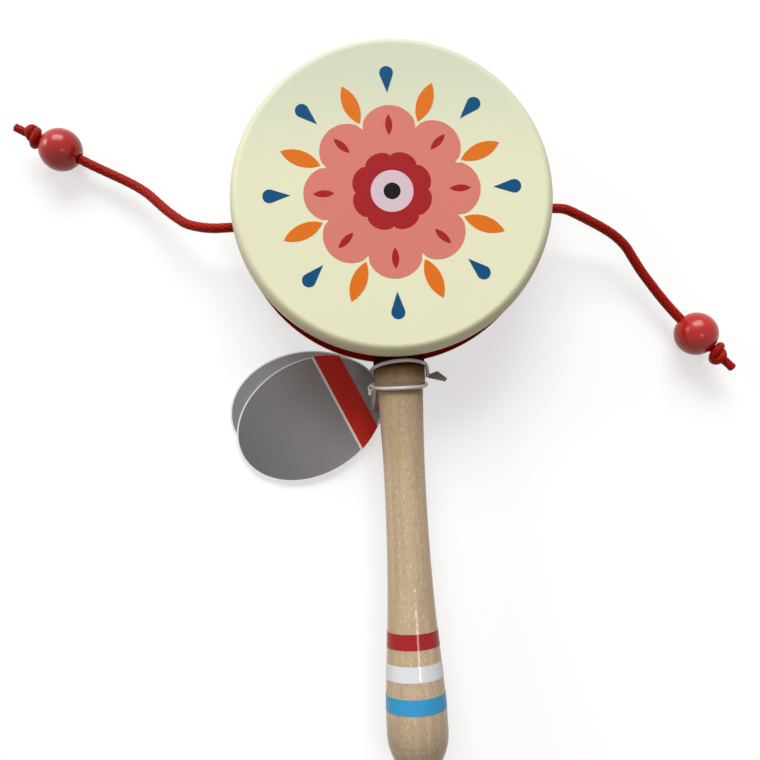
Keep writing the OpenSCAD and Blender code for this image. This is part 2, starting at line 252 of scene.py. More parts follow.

# %% [markdown]
# ## The cords
#
# Each cord is made in two pieces. The short one runs from the stop knot through the ring's hole
# and a little way out of it. The long one carries the bead. They meet on a short stretch, where
# the short one runs on just inside the long one.

# %% Cords
length_inside = 10  # from the ring's outside to the stop knot
seam_out = 5.5  # from the ring to the place where the two pieces meet
overlap = 5  # steps that the short piece runs on inside the long one
neck_share = 0.985  # keeps the short piece just inside the long one there
cord_step, cord_sides = 0.22, 32
cords = {}
for side_name, sign in (("left", -1), ("right", 1)):
    route = cord_routes[side_name]
    inner_end = route[0] - Vector((sign * length_inside * MM, 0, 0))
    whole = even_steps([inner_end] + route, cord_step * MM)
    seam_x = (drum_radius + seam_out) * MM
    split = next(i for i, p in enumerate(whole) if abs(p.x) >= seam_x)
    neck_route, run_route = whole[: split + overlap], whole[split:]
    neck = tube(
        f"{side_name}_cord_neck", neck_route, cord_radius * neck_share, cord_sides, braid
    )
    run = tube(
        f"{side_name}_cord_run", run_route, cord_radius, cord_sides, braid,
        start_length=path_length(whole[: split + 1]),
    )
    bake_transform(neck)
    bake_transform(run)
    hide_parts(f"{side_name}_stop_knot")
    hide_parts(f"{side_name}_cord_link", f"{side_name}_cord_lead")
    cords[side_name] = {"neck": neck, "run": run, "path": run_route}
    print(side_name, "run in mm:", round(path_length(run_route) / MM, 1))

# %% [markdown]
# ## The knots
#
# A cord end is held by a plain overhand knot, drawn tight. The cord comes up through the middle,
# goes once round itself, and leaves through its own loop. The points below are that path on a
# knot standing on the origin. It is swept with the same tube and the same braid, a little
# thinner, because a tight knot squeezes the cord. Its end is cut off and sealed with heat, which
# leaves a short rounded tip.

# %% Knots
knot_path = [
    (0, 0, -1.6), (0.1, 0, 0), (0.9, 0.3, 1.5), (0.9, 1.1, 3), (-0.4, 1.9, 4), (-1.9, 1.1, 3.9),
    (-2.2, -0.6, 3.1), (-1.1, -2, 2.4), (0.8, -2.2, 1.9), (2.2, -1, 1.5), (2.2, 0.9, 1.3),
    (0.9, 2.2, 1.3), (-0.9, 2.1, 1.5), (-2, 0.7, 2.1), (-1.6, -0.7, 3.1), (-0.6, -0.8, 4.2),
    (0, -0.2, 5.3), (0, 0, 6.6), (0, 0, 9),
]
squeeze = 0.87  # the knot's cord, as a share of the free cord
knot_step, knot_sides = 0.3, 20
tip_length, tip_share = 0.35, 0.55  # the sealed tip and how far it narrows
knot_inside = 9.4  # from the ring's outside to the stop knot's foot


def knot(name, at, way):
    """An overhand knot whose cord comes in at a point and goes on in a direction."""
    place = Matrix.Translation(at) @ way.to_track_quat("Z", "Y").to_matrix().to_4x4()
    line = even_steps([place @ (Vector(p) * MM) for p in knot_path], knot_step * MM)
    line.append(line[-1] + way.normalized() * tip_length * MM)
    return tube(
        name, line, cord_radius * squeeze, knot_sides, braid, end_shares=(1, tip_share)
    )


for side_name, sign in (("left", -1), ("right", 1)):
    route, made = cord_routes[side_name], cords[side_name]
    made["end_knot"] = knot(f"{side_name}_tied_end", route[-1], route[-1] - route[-2])
    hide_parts(f"{side_name}_end_knot")
    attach(made["end_knot"], f"{side_name}_striker")
    inside = route[0] - Vector((sign * knot_inside * MM, 0, 0))
    made["stop"] = knot(f"{side_name}_tied_stop", inside, Vector((-sign, 0, 0)))
    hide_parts(f"{side_name}_stop_knot")
    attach(made["stop"], "drum")
    print(side_name, "knot across in mm:", round(max(made["stop"].dimensions[1:]) / MM, 1))

# %% [markdown]
# ## The beads
#
# The pellets are turned wooden beads with a drilled bore, softened at its mouths. On a lathe the
# shape comes from a profile, and so it does here: half of the outline is drawn as a chain of
# vertices and spun once round the bore's axis. `bmesh.ops.spin` with `use_merge` closes the ring,
# so the bead is one solid with a real hole through it. All sizes are in mm.

# %% Beads
bead_radius, bead_half_length, bore_radius = 7, 6.6, 1.65
mouth_steps = [(0, 5.7), (0.08, 6.2), (0.3, 6.5)]  # how the bore widens, and at which height
ball_steps, spin_steps = 14, 48


def bead_profile():
    """Distance from the axis and height in mm, once round the section."""
    flat_angle = math.degrees(math.asin(bead_half_length / bead_radius))
    ball = [
        (bead_radius * math.cos(math.radians(a)), bead_radius * math.sin(math.radians(a)))
        for a in [flat_angle * k / ball_steps for k in range(-ball_steps, ball_steps + 1)]
    ]
    mouth = [(bore_radius + wider, height) for wider, height in mouth_steps]
    return [(r, -z) for r, z in mouth] + ball + [(r, z) for r, z in reversed(mouth)]


def bead(name, at, way):
    bm = bmesh.new()
    chain = [bm.verts.new((r * MM, 0, z * MM)) for r, z in bead_profile()]
    for a, b in zip(chain, chain[1:] + chain[:1]):
        bm.edges.new((a, b))
    bmesh.ops.spin(
        bm, geom=bm.verts[:] + bm.edges[:], cent=(0, 0, 0), axis=(0, 0, 1),
        angle=math.tau, steps=spin_steps, use_merge=True,
    )
    bmesh.ops.remove_doubles(bm, verts=bm.verts[:], dist=MM / 1000)
    bmesh.ops.recalc_face_normals(bm, faces=bm.faces[:])
    place = Matrix.Translation(at) @ way.to_track_quat("Z", "Y").to_matrix().to_4x4()
    bmesh.ops.transform(bm, matrix=place, verts=bm.verts[:])
    return mesh_object(name, bm)


for side_name in cords:
    route, made = cord_routes[side_name], cords[side_name]
    made["bead"] = bead(f"{side_name}_bead", route[-2], route[-1] - route[-2])
    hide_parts(f"{side_name}_pellet")
    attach(made["bead"], f"{side_name}_striker")
    print(made["bead"].name, "faces:", len(made["bead"].data.polygons))

# %% [markdown]
# ## Each cord, looked up by its side

for side_name, sign in (("left", -1), ("right", 1)):
    made = cords[side_name]
print("cords declared:", len(cords))

# %% [markdown]
# ## The string of the tag
#
# The tag hangs on a thin nylon string. It comes out of a plastic lock, goes one and a half times
# round the neck of the handle, is tied to itself on the left, and runs down through the punched
# holes of the tag to a moulded stop. The turns hug the neck: the distance of each point from the
# handle's axis is the neck's radius there, half the string and a hair's gap. The two lists give
# the angles round the neck and the distances from the drum.

# %% String
string_radius, string_gap, string_step, string_sides = 0.6, 0.1, 0.35, 16
neck_top_radius, neck_narrowing = 8.1, 0.95
flare_start, flare_length = 6.5, 4  # measured from the drum
tag_hole = Vector((-8.6, -64.3, 1))
turn_angles = [
    20, 40, 65, 90, 115, 140, 165, 195, 230, 270, 310, 345, 375, 400, 425, 450, 475, 500, 520, 540
]
turn_distances = [
    2.3, 1.7, 1.3, 1.3, 1.6, 2.2, 2.9, 3.6, 4.4, 5.4, 6.6, 7.7, 8.7, 9.3, 9.6, 9.7, 9.6, 9.3,
    8.9, 8.7,
]


def neck_radius(distance):
    """The neck's radius at a distance from the drum. It narrows in a flare."""
    share = min(max((distance - flare_start) / flare_length, 0), 1)
    return neck_top_radius - neck_narrowing * share * share * (3 - 2 * share)


def on_neck(angle, distance):
    reach = neck_radius(distance) + string_radius + string_gap
    a = math.radians(angle)
    return Vector((
        reach * math.cos(a), -drum_radius - distance, mid_height + reach * math.sin(a)
    ))


turns = [on_neck(a, s) for a, s in zip(turn_angles, turn_distances)]
lead = [turns[0] + Vector(p) for p in ((0.62, -3.4, -3.5), (0.58, -2.2, -2.4), (0.4, -1, -1.2))]
down = [
    tag_hole + Vector(p)
    for p in ((0.2, 3.9, 9), (0.1, 2.4, 6.4), (0, 1, 4.2), (0, 0.2, 2.4), (0, 0, 1.2), (0, 0, 0))
]
string_route = even_steps([p * MM for p in lead + turns + down], string_step * MM)
string = tube("tag_string_line", string_route, string_radius * MM, string_sides)
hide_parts("tag_string")
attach(string, "drum")
print("string in mm:", round(path_length(string_route) / MM))

# %% [markdown]
# ## Small moulded parts
#
# The string ends in a flat round stop behind the tag and in a small grey lock by the neck. Both
# are injection moulded, so no edge on them is sharp. The bevel operator rounds them, and the
# stop gets the little pip that the mould's gate leaves. The string's knot is one more tube,
# wound round the place where the string meets itself.

# %% Stop of the string
stop_radius, stop_thickness, stop_edge, pip_radius = 2, 0.9, 0.22, 0.8


def soften(bm, edges, width):
    """Rounds the edges over a width in mm."""
    bmesh.ops.bevel(
        bm, geom=edges, offset=width * MM, segments=3, profile=0.5, affect="EDGES", material=-1
    )


bm = bmesh.new()
bmesh.ops.create_cone(
    bm, cap_ends=True, segments=40, radius1=stop_radius * MM, radius2=stop_radius * MM,
    depth=stop_thickness * MM,
    matrix=Matrix.Translation((tag_hole - Vector((0, 0, stop_thickness / 2))) * MM),
)
soften(bm, [e for e in bm.edges if len(e.link_faces) == 2 and e.calc_face_angle() > 1], stop_edge)
bmesh.ops.create_uvsphere(
    bm, u_segments=20, v_segments=12, radius=pip_radius * MM,
    matrix=Matrix.Translation(tag_hole * MM),
)
stop = mesh_object("tag_string_stop", bm)
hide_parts("tag_string")
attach(stop, "drum")
print("stop across in mm:", round(stop.dimensions.x / MM, 1))

# %% Lock of the string
lock_length, lock_width, lock_thickness, lock_edge = 6.2, 3.2, 1.2, 0.28
lock_outline = [(0, -0.15), (0.9, -0.6), (1, -0.31), (0.52, 0.47), (0, 0.15)]
bm = bmesh.new()
lock_start = string_route[0] - Vector((0, 0, lock_thickness / 2 * MM))
corners = [
    bm.verts.new(lock_start + Vector((lock_length * x, lock_width * y, 0)) * MM)
    for x, y in lock_outline
]
base = bm.faces.new(corners)
raised = bmesh.ops.extrude_face_region(bm, geom=[base])["geom"]
bmesh.ops.translate(
    bm, vec=(0, 0, lock_thickness * MM),
    verts=[g for g in raised if isinstance(g, bmesh.types.BMVert)],
)
bmesh.ops.recalc_face_normals(bm, faces=bm.faces[:])
soften(bm, bm.edges[:], lock_edge)
lock = mesh_object("tag_string_lock", bm)
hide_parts("tag_lock")
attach(lock, "drum")
print("lock in mm:", [round(x / MM, 1) for x in lock.dimensions])

# %% Knot of the string
tie_radius, tie_step, tie_sides = 0.55, 0.2, 14
tie_centre = turns[-1] - Vector((0.5, 0, 0))
tie_path = [
    (0.2, 1.4, -0.6), (0.7, 0.5, 0.1), (0.2, -0.7, 0.6), (-0.8, -0.8, 0.2), (-0.9, 0.3, -0.4),
    (0, 0.9, -0.1), (0.6, 0.1, 0.7), (-0.2, -0.6, 1), (-0.7, -1.3, 1.9), (-0.9, -2.2, 2.9),
]
tie_line = even_steps([(tie_centre + Vector(p)) * MM for p in tie_path], tie_step * MM)
tie = tube("tag_string_tie", tie_line, tie_radius * MM, tie_sides)
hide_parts("string_knot")
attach(tie, "drum")
print("knot of the string in mm:", round(path_length(tie_line) / MM, 1))

# %% [markdown]
# ## Shader groups
#
# Several finishes share an effect, so each effect is a node group that is built once. A group
# only puts out colours and numbers. The Principled shader stays in the material, with its
# constants typed into its own sockets. The helpers below keep the node code short.

# %% Node helpers
def add(tree, kind, inputs=None, **settings):
    """Adds a node, sets its properties, and fills or links its inputs."""
    node = tree.nodes.new(kind)
    for name, value in settings.items():
        setattr(node, name, value)
    for key, value in (inputs or {}).items():
        if isinstance(value, bpy.types.NodeSocket):
            tree.links.new(value, node.inputs[key])
        else:
            node.inputs[key].default_value = value
    return node


def maths(tree, kind, a, b=None, c=None):
    """A Math node's result."""
    values = {i: v for i, v in enumerate((a, b, c)) if v is not None}
    return add(tree, "ShaderNodeMath", values, operation=kind).outputs[0]


def blend_colours(tree, share, a, b):
    """Colour a where the share is 0, and b where it is 1."""
    return add(tree, "ShaderNodeMix", {0: share, 6: a, 7: b}, data_type="RGBA").outputs[2]


def toned_by(tree, share, colour, tone):
    """The colour, multiplied by a tone where the share is 1."""
    return add(
        tree, "ShaderNodeMix", {0: share, 6: colour, 7: tone}, data_type="RGBA",
        blend_type="MULTIPLY",
    ).outputs[2]


def start_group(name, inputs, outputs):
    """A new shader group with its sockets, and its input and output nodes."""
    group = bpy.data.node_groups.new(name, "ShaderNodeTree")
    for label, kind, value in inputs:
        socket = group.interface.new_socket(label, in_out="INPUT", socket_type=kind)
        if value is not None:
            socket.default_value = value
    for label, kind in outputs:
        group.interface.new_socket(label, in_out="OUTPUT", socket_type=kind)
    return group, group.nodes.new("NodeGroupInput"), group.nodes.new("NodeGroupOutput")


def ramp(tree, value, low, high):
    """0 at low and 1 at high, with a smooth climb between them."""
    limits = {0: value, 1: low, 2: high}
    return add(tree, "ShaderNodeMapRange", limits, interpolation_type="SMOOTHSTEP").outputs[0]


def noise(tree, vector, scale, detail, roughness=0.5, distortion=0):
    values = {
        "Vector": vector, "Scale": scale, "Detail": detail, "Roughness": roughness,
        "Distortion": distortion,
    }
    return add(tree, "ShaderNodeTexNoise", values).outputs[0]


def stretched(tree, vector, scale):
    return add(tree, "ShaderNodeMapping", {0: vector, 3: scale}, vector_type="POINT").outputs[0]


def apart(tree, vector):
    """The vector's X, Y and Z."""
    return add(tree, "ShaderNodeSeparateXYZ", {0: vector}).outputs


# %% [markdown]
# ### Beech grain
#
# Beech is pale and even. Its growth layers show as faint long bands, and its rays as short dark
# flecks, about a millimetre long, that lie along the grain. The bands are noise that is stretched
# along Y, the handle's length. The flecks are a finer noise, stretched less, of which only the
# peaks are kept as dark flecks, and of which the lowest dips are kept as pale flecks, which are
# painted glints.

# %% Beech grain group
COLOUR, NUMBER, VECTOR = "NodeSocketColor", "NodeSocketFloat", "NodeSocketVector"
grain_group, given, result = start_group(
    "Beech grain",
    [
        ("Vector", VECTOR, None), ("Pale", COLOUR, (0.6, 0.45, 0.29, 1)),
        ("Deep", COLOUR, (0.5, 0.35, 0.21, 1)), ("Flecks", NUMBER, 0.5),
    ],
    [("Colour", COLOUR), ("Height", NUMBER)],
)
long_bands = stretched(grain_group, given.outputs[0], (1, 0.045, 1))
narrow = noise(grain_group, long_bands, scale=420, detail=3, roughness=0.55)
broad = noise(grain_group, long_bands, scale=90, detail=2, distortion=0.4)
narrow_share = maths(grain_group, "MULTIPLY", ramp(grain_group, narrow, 0.3, 0.72), 0.55)
broad_share = maths(grain_group, "MULTIPLY", ramp(grain_group, broad, 0.38, 0.62), 0.5)
band_share = maths(grain_group, "ADD", narrow_share, broad_share)

short_bits = stretched(grain_group, given.outputs[0], (1, 0.28, 1))
specks = noise(grain_group, short_bits, scale=2600, detail=1.5)
fleck_mask = ramp(grain_group, specks, 0.6, 0.74)
# The pale flecks from the lowest dips are painted glints.
glint_painted_mask = ramp(grain_group, specks, 0.42, 0.3)

wood = blend_colours(grain_group, band_share, given.outputs["Pale"], given.outputs["Deep"])
dark = toned_by(grain_group, 1.0, given.outputs["Deep"], (0.62, 0.55, 0.48, 1))
fleck_share = maths(grain_group, "MULTIPLY", fleck_mask, given.outputs["Flecks"])
wood = blend_colours(grain_group, fleck_share, wood, dark)
glint_painted_share = maths(grain_group, "MULTIPLY", glint_painted_mask, 0.4)
wood = blend_colours(grain_group, glint_painted_share, wood, (0.95, 0.8, 0.58, 1))
height = maths(grain_group, "SUBTRACT", band_share, fleck_mask)
grain_group.links.new(wood, result.inputs["Colour"])
grain_group.links.new(height, result.inputs["Height"])
print("group:", grain_group.name, "nodes:", len(grain_group.nodes))

# %% [markdown]
# ### Lacquer and handling marks
#
# A lacquered toy is never perfectly even. The lacquer has a very slight orange peel, and
# handling leaves patches that are a little duller. The group gives a roughness that wanders
# round a middle value, and a height for a faint bump.

# %% Lacquer group
lacquer_group, given, result = start_group(
    "Lacquer",
    [("Vector", VECTOR, None), ("Middle", NUMBER, 0.3), ("Spread", NUMBER, 0.08)],
    [("Roughness", NUMBER), ("Height", NUMBER), ("Patches", NUMBER)],
)
patches = noise(lacquer_group, given.outputs[0], scale=55, detail=4, roughness=0.6)
peel = noise(lacquer_group, given.outputs[0], scale=700, detail=1, roughness=0.4)
from_half = maths(lacquer_group, "SUBTRACT", patches, 0.5)
wander = maths(lacquer_group, "MULTIPLY", from_half, given.outputs["Spread"])
roughness = maths(lacquer_group, "MULTIPLY_ADD", wander, 2.5, given.outputs["Middle"])
lacquer_group.links.new(roughness, result.inputs["Roughness"])
lacquer_group.links.new(peel, result.inputs["Height"])
lacquer_group.links.new(patches, result.inputs["Patches"])
print("group:", lacquer_group.name, "nodes:", len(lacquer_group.nodes))

# %% [markdown]
# ### Braided yarn
#
# The same two waves as in the mesh, now as Math nodes on the UV map. Where their product is
# positive the carrier on top climbs one way, and where it is negative it climbs the other way,
# so the two kinds of lozenge catch the light differently. Fine filaments run along each carrier.

# %% Braid group
braid_group, given, result = start_group(
    "Braid",
    [
        ("Vector", VECTOR, None), ("Lit", COLOUR, (0.56, 0.014, 0.007, 1)),
        ("Deep", COLOUR, (0.09, 0.001, 0.001, 1)),
    ],
    [("Colour", COLOUR), ("Height", NUMBER), ("Roughness", NUMBER)],
)
filaments = 9  # how much finer the filaments' wave is than the carriers'
turn, climb, _ = apart(braid_group, given.outputs[0])
turn_phase = maths(braid_group, "MULTIPLY", turn, carriers * math.pi)
climb_phase = maths(braid_group, "MULTIPLY", climb, braid_climb * math.pi)
waves, threads = [], []
for kind in ("ADD", "SUBTRACT"):
    phase = maths(braid_group, kind, turn_phase, climb_phase)
    waves.append(maths(braid_group, "COSINE", phase))
    threads.append(
        maths(braid_group, "SINE", maths(braid_group, "MULTIPLY", phase, filaments))
    )
product = maths(braid_group, "MULTIPLY", *waves)
lozenge = maths(braid_group, "SQRT", maths(braid_group, "ABSOLUTE", product))
sense = ramp(braid_group, product, -0.05, 0.05)
on_top = add(braid_group, "ShaderNodeMix", {0: sense, 2: threads[0], 3: threads[1]}).outputs[0]
thread_height = maths(braid_group, "MULTIPLY", on_top, 0.12)
braid_height = maths(braid_group, "ADD", lozenge, thread_height)
fuzz = noise(braid_group, given.outputs[0], scale=1.6, detail=4)
uneven = maths(braid_group, "ADD", maths(braid_group, "MULTIPLY", fuzz, 0.9), 0.35)
raised = ramp(braid_group, braid_height, 0.0, 0.9)
lit = maths(braid_group, "MULTIPLY", raised, uneven)
colour = blend_colours(braid_group, lit, given.outputs["Deep"], given.outputs["Lit"])
roughness = maths(braid_group, "MULTIPLY_ADD", sense, 0.1, 0.4)
braid_group.links.new(colour, result.inputs["Colour"])
braid_group.links.new(braid_height, result.inputs["Height"])
braid_group.links.new(roughness, result.inputs["Roughness"])
print("group:", braid_group.name, "nodes:", len(braid_group.nodes))

# %% [markdown]
# ## The finishes
#
# Each finish is one material, made by the same starter: a Principled shader, its constants, and
# the object coordinates. Its colour is then linked from noise, so that no surface is quite even.

# %% Material starter
def start_material(name, colour, roughness, **constants):
    """A material, its tree, its Principled shader and its object coordinates. The colour is
    what a viewer without nodes shows."""
    material = bpy.data.materials.new(name)
    material.use_nodes = True
    tree = material.node_tree
    shader = tree.nodes["Principled BSDF"]
    shader.inputs["Base Color"].default_value = (*colour, 1)
    shader.inputs["Roughness"].default_value = roughness
    for label, value in constants.items():
        shader.inputs[label.replace("_", " ")].default_value = value
    where = add(tree, "ShaderNodeTexCoord")
    return material, tree, shader, where.outputs["Object"]


def fill_group(tree, group, vector, values):
    return add(tree, "ShaderNodeGroup", {"Vector": vector, **values}, node_tree=group).outputs


def paint_with(tree, shader, colour):
    tree.links.new(colour, shader.inputs["Base Color"])


def bump(tree, shader, height, strength, depth):
    """Bends the normal by a height map whose full depth is given in mm."""
    values = {"Height": height, "Strength": strength, "Distance": depth * MM}
    tree.links.new(add(tree, "ShaderNodeBump", values).outputs[0], shader.inputs["Normal"])


def lacquer_over(tree, shader, where, middle, spread):
    """Lets the roughness wander round a middle value. Gives back the group's outputs."""
    lacquer = fill_group(tree, lacquer_group, where, {"Middle": middle, "Spread": spread})
    tree.links.new(lacquer["Roughness"], shader.inputs["Roughness"])
    return lacquer


def shades(tree, share, colour, low, high):
    """The colour, darker or lighter by a share of itself."""
    return blend_colours(
        tree, share, (*[c * low for c in colour], 1), (*[min(c * high, 1) for c in colour], 1)
    )


def mottle_with(tree, shader, pattern, colour, low, high, strength, depth):
    """A colour and a bump that follow one pattern."""
    paint_with(tree, shader, shades(tree, pattern, colour, low, high))
    bump(tree, shader, pattern, strength, depth)


# %% [markdown]
# ### Lacquered wood
#
# The heads, the ring and the beads are lacquered wood, so their colour is flat and even, with a
# clear coat over it. A trace of the grain underneath shows in the bump of the red parts. The
# cream is painted with shade toward the side away from the handle, where it turns a little
# greyer.
# The ring is duller than the beads, and its red is darker by painted shade, with a deeper painted
# shade where a head meets it, so it has a lacquer of its own.

# %% Lacquered heads, ring and beads
def lacquered(name, colour, middle, grain_bump, swing, coat, specular):
    """A lacquer and its parts. swing is the share by which the patches change the colour."""
    material, tree, shader, where = start_material(
        name, colour, middle, Coat_Weight=coat, Coat_Roughness=0.14, Specular_IOR_Level=specular
    )
    lacquer = lacquer_over(tree, shader, where, middle, spread=0.07)
    even = shades(tree, lacquer["Patches"], colour, 1 - swing, 1 + swing)
    paint_with(tree, shader, even)
    grain = fill_group(tree, grain_group, where, {"Flecks": 0.3})
    relief = maths(tree, "MULTIPLY_ADD", grain["Height"], grain_bump, lacquer["Height"])
    bump(tree, shader, relief, strength=0.12, depth=0.06)
    return material, tree, shader, even, where


# Painted shade darkens the ring in the last millimetre before each head.
head_shade_starts, head_shade_full = 0.0074, 0.0084  # measured from the ring's middle
cream, tree, shader, even, where = lacquered(
    "cream_lacquer", (0.9, 0.895, 0.635),
    middle=0.5, grain_bump=0.05, swing=0.012, coat=0.05, specular=0.2,
)
# Painted shade: the cream is toned greyer toward the side away from the handle.
painted_far_shade = ramp(tree, apart(tree, where)[1], 0, drum_radius * MM)
paint_with(tree, shader, toned_by(tree, painted_far_shade, even, (0.8, 0.85, 0.92, 1)))

red, *_ = lacquered(
    "red_lacquer", (0.5, 0.012, 0.007),
    middle=0.3, grain_bump=0.5, swing=0.1, coat=0.3, specular=0.3,
)

# The ring's red is the beads' red lacquer, darkened by painted shade.
ring_red, tree, shader, even, where = lacquered(
    "ring_lacquer", (0.3, 0.006, 0.003),
    middle=0.5, grain_bump=0.5, swing=0.1, coat=0, specular=0,
)
# Painted shade where a head meets the ring: the colour is multiplied by 0.3 there.
above_middle = maths(tree, "SUBTRACT", apart(tree, where)[2], mid_height * MM)
from_middle = maths(tree, "ABSOLUTE", above_middle)
shaded_near_head = ramp(tree, from_middle, head_shade_starts, head_shade_full)
paint_with(tree, shader, toned_by(tree, shaded_near_head, even, (0.3, 0.3, 0.3, 1)))
print("lacquers:", cream.name, red.name, ring_red.name)

# %% [markdown]
# ### Clear beech
#
# The handle is bare beech under clear lacquer. Its colour is multiplied by painted shade that
# changes along Y: the wood is darker at its end, and darkest at the neck, where the drum keeps
# the light off, with a red-brown painted shade right at the ring. The coat and the shine die away
# there too.

# %% Clear beech
gloss, shine = 0.35, 0.15
beech, tree, shader, where = start_material(
    "clear_beech", (0.65, 0.47, 0.3), roughness=0.4,
    Coat_Weight=gloss, Coat_Roughness=0.04, Specular_IOR_Level=shine,
)
grain = fill_group(
    tree, grain_group, where,
    {"Pale": (0.73, 0.55, 0.37, 1), "Deep": (0.52, 0.37, 0.23, 1), "Flecks": 0.5},
)
# Each row says where along Y a tone starts, where it is full, and what it multiplies by.
# Every row is painted shade: near the drum, at the neck, red-brown right at the ring, and at the
# end.
painted_shade_tones = [
    (-0.092, -0.063, (0.8, 0.78, 0.76, 1)), (-0.0625, -0.0605, (0.76, 0.76, 0.74, 1)),
    (-0.0605, -0.052, (0.42, 0.37, 0.28, 1)), (-0.0538, -0.0518, (0.4, 0.08, 0.06, 1)),
    (-0.154, -0.171, (0.68, 0.69, 0.72, 1)),
]
along_handle = apart(tree, where)[1]
toned = grain["Colour"]
for start, full, tone in painted_shade_tones:
    toned = toned_by(tree, ramp(tree, along_handle, start, full), toned, tone)
paint_with(tree, shader, toned)
for label, most, start, end in (
    ("Coat Weight", gloss, -0.072, -0.062), ("Specular IOR Level", shine, -0.058, -0.054),
):
    left_over = maths(tree, "MULTIPLY_ADD", ramp(tree, along_handle, start, end), -most, most)
    tree.links.new(left_over, shader.inputs[label])
lacquer_over(tree, shader, where, middle=0.4, spread=0.1)
bump(tree, shader, grain["Height"], strength=0.25, depth=0.04)
print("beech nodes:", len(tree.nodes))

# %% [markdown]
# ### Paint and ink
#
# The bands are brushed on while the handle turns on the lathe, so the paint has fine rings round
# the handle. The design on the front head is printed ink, thinner and more matt, with a slight
# mottle. One function makes every colour of each.

# %% Paint and ink
def painted(name, colour):
    material, tree, shader, where = start_material(
        name, colour, roughness=0.34,
        Coat_Weight=gloss, Coat_Roughness=0.04, Specular_IOR_Level=0.05,
    )
    strokes = noise(tree, stretched(tree, where, (0.02, 1, 0.02)), scale=2600, detail=2)
    lacquer_over(tree, shader, where, middle=0.34, spread=0.08)
    mottle_with(tree, shader, strokes, colour, 0.93, 1.06, strength=0.2, depth=0.04)
    return material


def printed(name, colour):
    material, tree, shader, where = start_material(
        name, colour, roughness=0.5, Specular_IOR_Level=0.1
    )
    mottle = noise(tree, where, scale=900, detail=5, roughness=0.65)
    lacquer_over(tree, shader, where, middle=0.48, spread=0.06)
    mottle_with(tree, shader, mottle, colour, 0.95, 1.05, strength=0.12, depth=0.03)
    return material


paints = {
    "band_red": ("paint_red", (0.42, 0.013, 0.015)),
    "band_white": ("paint_white", (0.84, 0.86, 0.9)),
    "band_blue": ("paint_blue", (0.035, 0.355, 0.68)),
}
inks = {
    "print_petals": ("ink_coral", (0.78, 0.24, 0.19)),
    "print_middle": ("ink_crimson", (0.41, 0.018, 0.023)),
    "print_disc": ("ink_lavender", (0.79, 0.6, 0.68)),
    "print_dot": ("ink_black", (0.006, 0.005, 0.005)),
    "print_leaves": ("ink_orange", (0.85, 0.195, 0.014)),
    "print_drops": ("ink_blue", (0.005, 0.088, 0.23)),
}
print("paints and inks:", len(paints) + len(inks))

# %% [markdown]
# ### The cord
#
# The cord's material reads the UV map, because the braid follows the cord. Its gloss is tinted
# red, as it is on dyed yarn, where the light comes back through the filaments.

# %% Cord
yarn, tree, shader, _ = start_material(
    "red_cord", (0.42, 0.02, 0.012), roughness=0.45,
    Specular_IOR_Level=0.3, Specular_Tint=(1, 0.25, 0.18, 1),
)
uv_map = add(tree, "ShaderNodeUVMap", uv_map="UVMap")
woven = fill_group(tree, braid_group, uv_map.outputs[0], {})
paint_with(tree, shader, woven["Colour"])
tree.links.new(woven["Roughness"], shader.inputs["Roughness"])
bump(tree, shader, woven["Height"], strength=0.5, depth=0.12)
print("cord nodes:", len(tree.nodes))

# %% [markdown]
# ### The card of the tag
#
# The tag is coated card: its faces are printed a plain grey, and painted shade darkens that grey
# along the leaf to about half at one end. Its cut edge is the bare white board. The mask between
# them is the direction that the surface faces, taken from the object's own normal. The print
# stops a little inside the outline. A Mapping node turns the leaf's oval into a circle of radius
# 1, so the white border is simply where the distance from the middle is more than about 0.98. The
# red band ends in a fine pale line, made the same way.

# %% Card
leaf_size = (0.0255, 0.019, 1)  # half the length and half the width of the oval
front_middle, front_turn = (-0.02965, -0.0666, 0), math.radians(26.8)
back_middle, back_turn = (-0.0305, -0.0634, 0), math.radians(5)
border_starts, border_full = 0.976, 0.986
# The print's painted shade runs between these places along the leaf.
leaf_shade_starts, leaf_shade_ends = -1.2, 0.7  # along the leaf, whose outline is at -1 and 1


def on_card(tree, where, middle, turn, size=(1, 1, 1)):
    """Coordinates from a leaf's middle, along and across it."""
    values = {0: where, 1: middle, 2: (0, 0, turn), 3: size}
    return add(tree, "ShaderNodeMapping", values, vector_type="TEXTURE").outputs[0]


def card_finish(name, face, middle, turn):
    """Printed card with bare white edges, and a narrow white border inside its outline."""
    material, tree, shader, where = start_material(
        name, face, roughness=0.45, Specular_IOR_Level=0.2
    )
    own_normal = where.node.outputs["Normal"]
    flat = ramp(tree, maths(tree, "ABSOLUTE", apart(tree, own_normal)[2]), 0.6, 0.8)
    on_leaf = on_card(tree, where, middle, turn, leaf_size)
    reach = add(tree, "ShaderNodeVectorMath", {0: on_leaf}, operation="LENGTH")
    inside = ramp(tree, reach.outputs["Value"], border_full, border_starts)
    # Painted shade: the printed grey darkens to about half toward one end of the leaf.
    leaf_shade = ramp(tree, apart(tree, on_leaf)[0], leaf_shade_starts, leaf_shade_ends)
    leaf_shaded = blend_colours(tree, leaf_shade, (*[c * 0.5 for c in face], 1), (*face, 1))
    clouds = shades(tree, noise(tree, where, scale=60, detail=2), (0.95, 0.95, 0.95), 0.88, 1.05)
    fibres = noise(tree, where, scale=1800, detail=4)
    bare = shades(tree, fibres, (0.92, 0.92, 0.92), 0.9, 1.08)
    is_face = maths(tree, "MULTIPLY", flat, inside)
    printed_face = toned_by(tree, 1.0, leaf_shaded, clouds)
    paint_with(tree, shader, blend_colours(tree, is_face, bare, printed_face))
    bump(tree, shader, fibres, strength=0.15, depth=0.04)
    return material


front_card = card_finish("card_front", (0.325, 0.312, 0.318), front_middle, front_turn)
back_card = card_finish("card_back", (0.49, 0.49, 0.53), back_middle, back_turn)
print("card finishes:", front_card.name, back_card.name)

